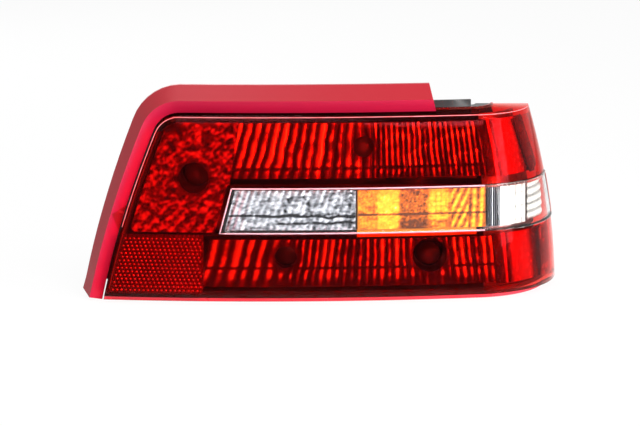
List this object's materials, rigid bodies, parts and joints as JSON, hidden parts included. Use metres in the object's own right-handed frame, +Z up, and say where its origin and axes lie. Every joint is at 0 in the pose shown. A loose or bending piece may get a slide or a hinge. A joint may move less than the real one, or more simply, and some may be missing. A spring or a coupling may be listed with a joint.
{
  "type": "tail light cluster",
  "caption": "Right-hand rear lamp for a saloon car: red lens with a clear centre strip, wrapped round the corner, with trim, reflectors, bulbs and housing.",
  "frame": {"origin": "middle of the four mounting studs, on the body panel's face", "axes": "+X outboard along the car's width, +Y forward into the body along the studs, +Z up"},
  "size_m": [0.4833, 0.1354, 0.2118],
  "materials": {
    "housing_plastic": "moulded, fine grain",
    "red_lens": "clear red acrylic, polished",
    "clear_lens": "clear acrylic, polished",
    "trim_red": "satin red",
    "sealant": "butyl bead",
    "foam": "closed-cell foam",
    "zinc_steel": "zinc plated",
    "mirror_metal": "vacuum metallised plastic",
    "amber_lens": "clear amber plastic",
    "reflex_red": "moulded prisms",
    "bulb_glass": "blown glass",
    "amber_glass": "amber coated glass",
    "holder_plastic": "moulded",
    "seal_rubber": "moulded",
    "terminal_brass": "stamped"
  },
  "bodies": {
    "root": {"housing": "housing_plastic", "red_lens": "red_lens", "clear_strip_lens": "clear_lens", "flange_trim": "trim_red", "lens_sealant": "sealant", "body_gasket": "foam", "mounting_studs": "zinc_steel", "stop_reflector": "mirror_metal", "tail_reflector": "mirror_metal", "strip_reflector": "mirror_metal", "lower_reflector": "mirror_metal", "corner_reflector": "mirror_metal", "amber_cover": "amber_lens", "reflex_plate": "reflex_red", "side_reflex_upper": "reflex_red", "side_reflex_lower": "reflex_red", "stop_bulb": "bulb_glass", "tail_bulb": "bulb_glass", "reverse_bulb": "bulb_glass", "turn_bulb": "amber_glass", "lower_inner_bulb": "bulb_glass", "lower_outer_bulb": "bulb_glass", "stop_holder": "holder_plastic", "tail_holder": "holder_plastic", "reverse_holder": "holder_plastic", "turn_holder": "holder_plastic", "lower_inner_holder": "holder_plastic", "lower_outer_holder": "holder_plastic", "stop_holder_seal": "seal_rubber", "tail_holder_seal": "seal_rubber", "reverse_holder_seal": "seal_rubber", "turn_holder_seal": "seal_rubber", "lower_inner_holder_seal": "seal_rubber", "lower_outer_holder_seal": "seal_rubber", "holder_terminals": "terminal_brass", "vent_cap_inner": "seal_rubber", "vent_cap_outer": "seal_rubber", "trim_clips": "zinc_steel"}
  },
  "joints": []
}
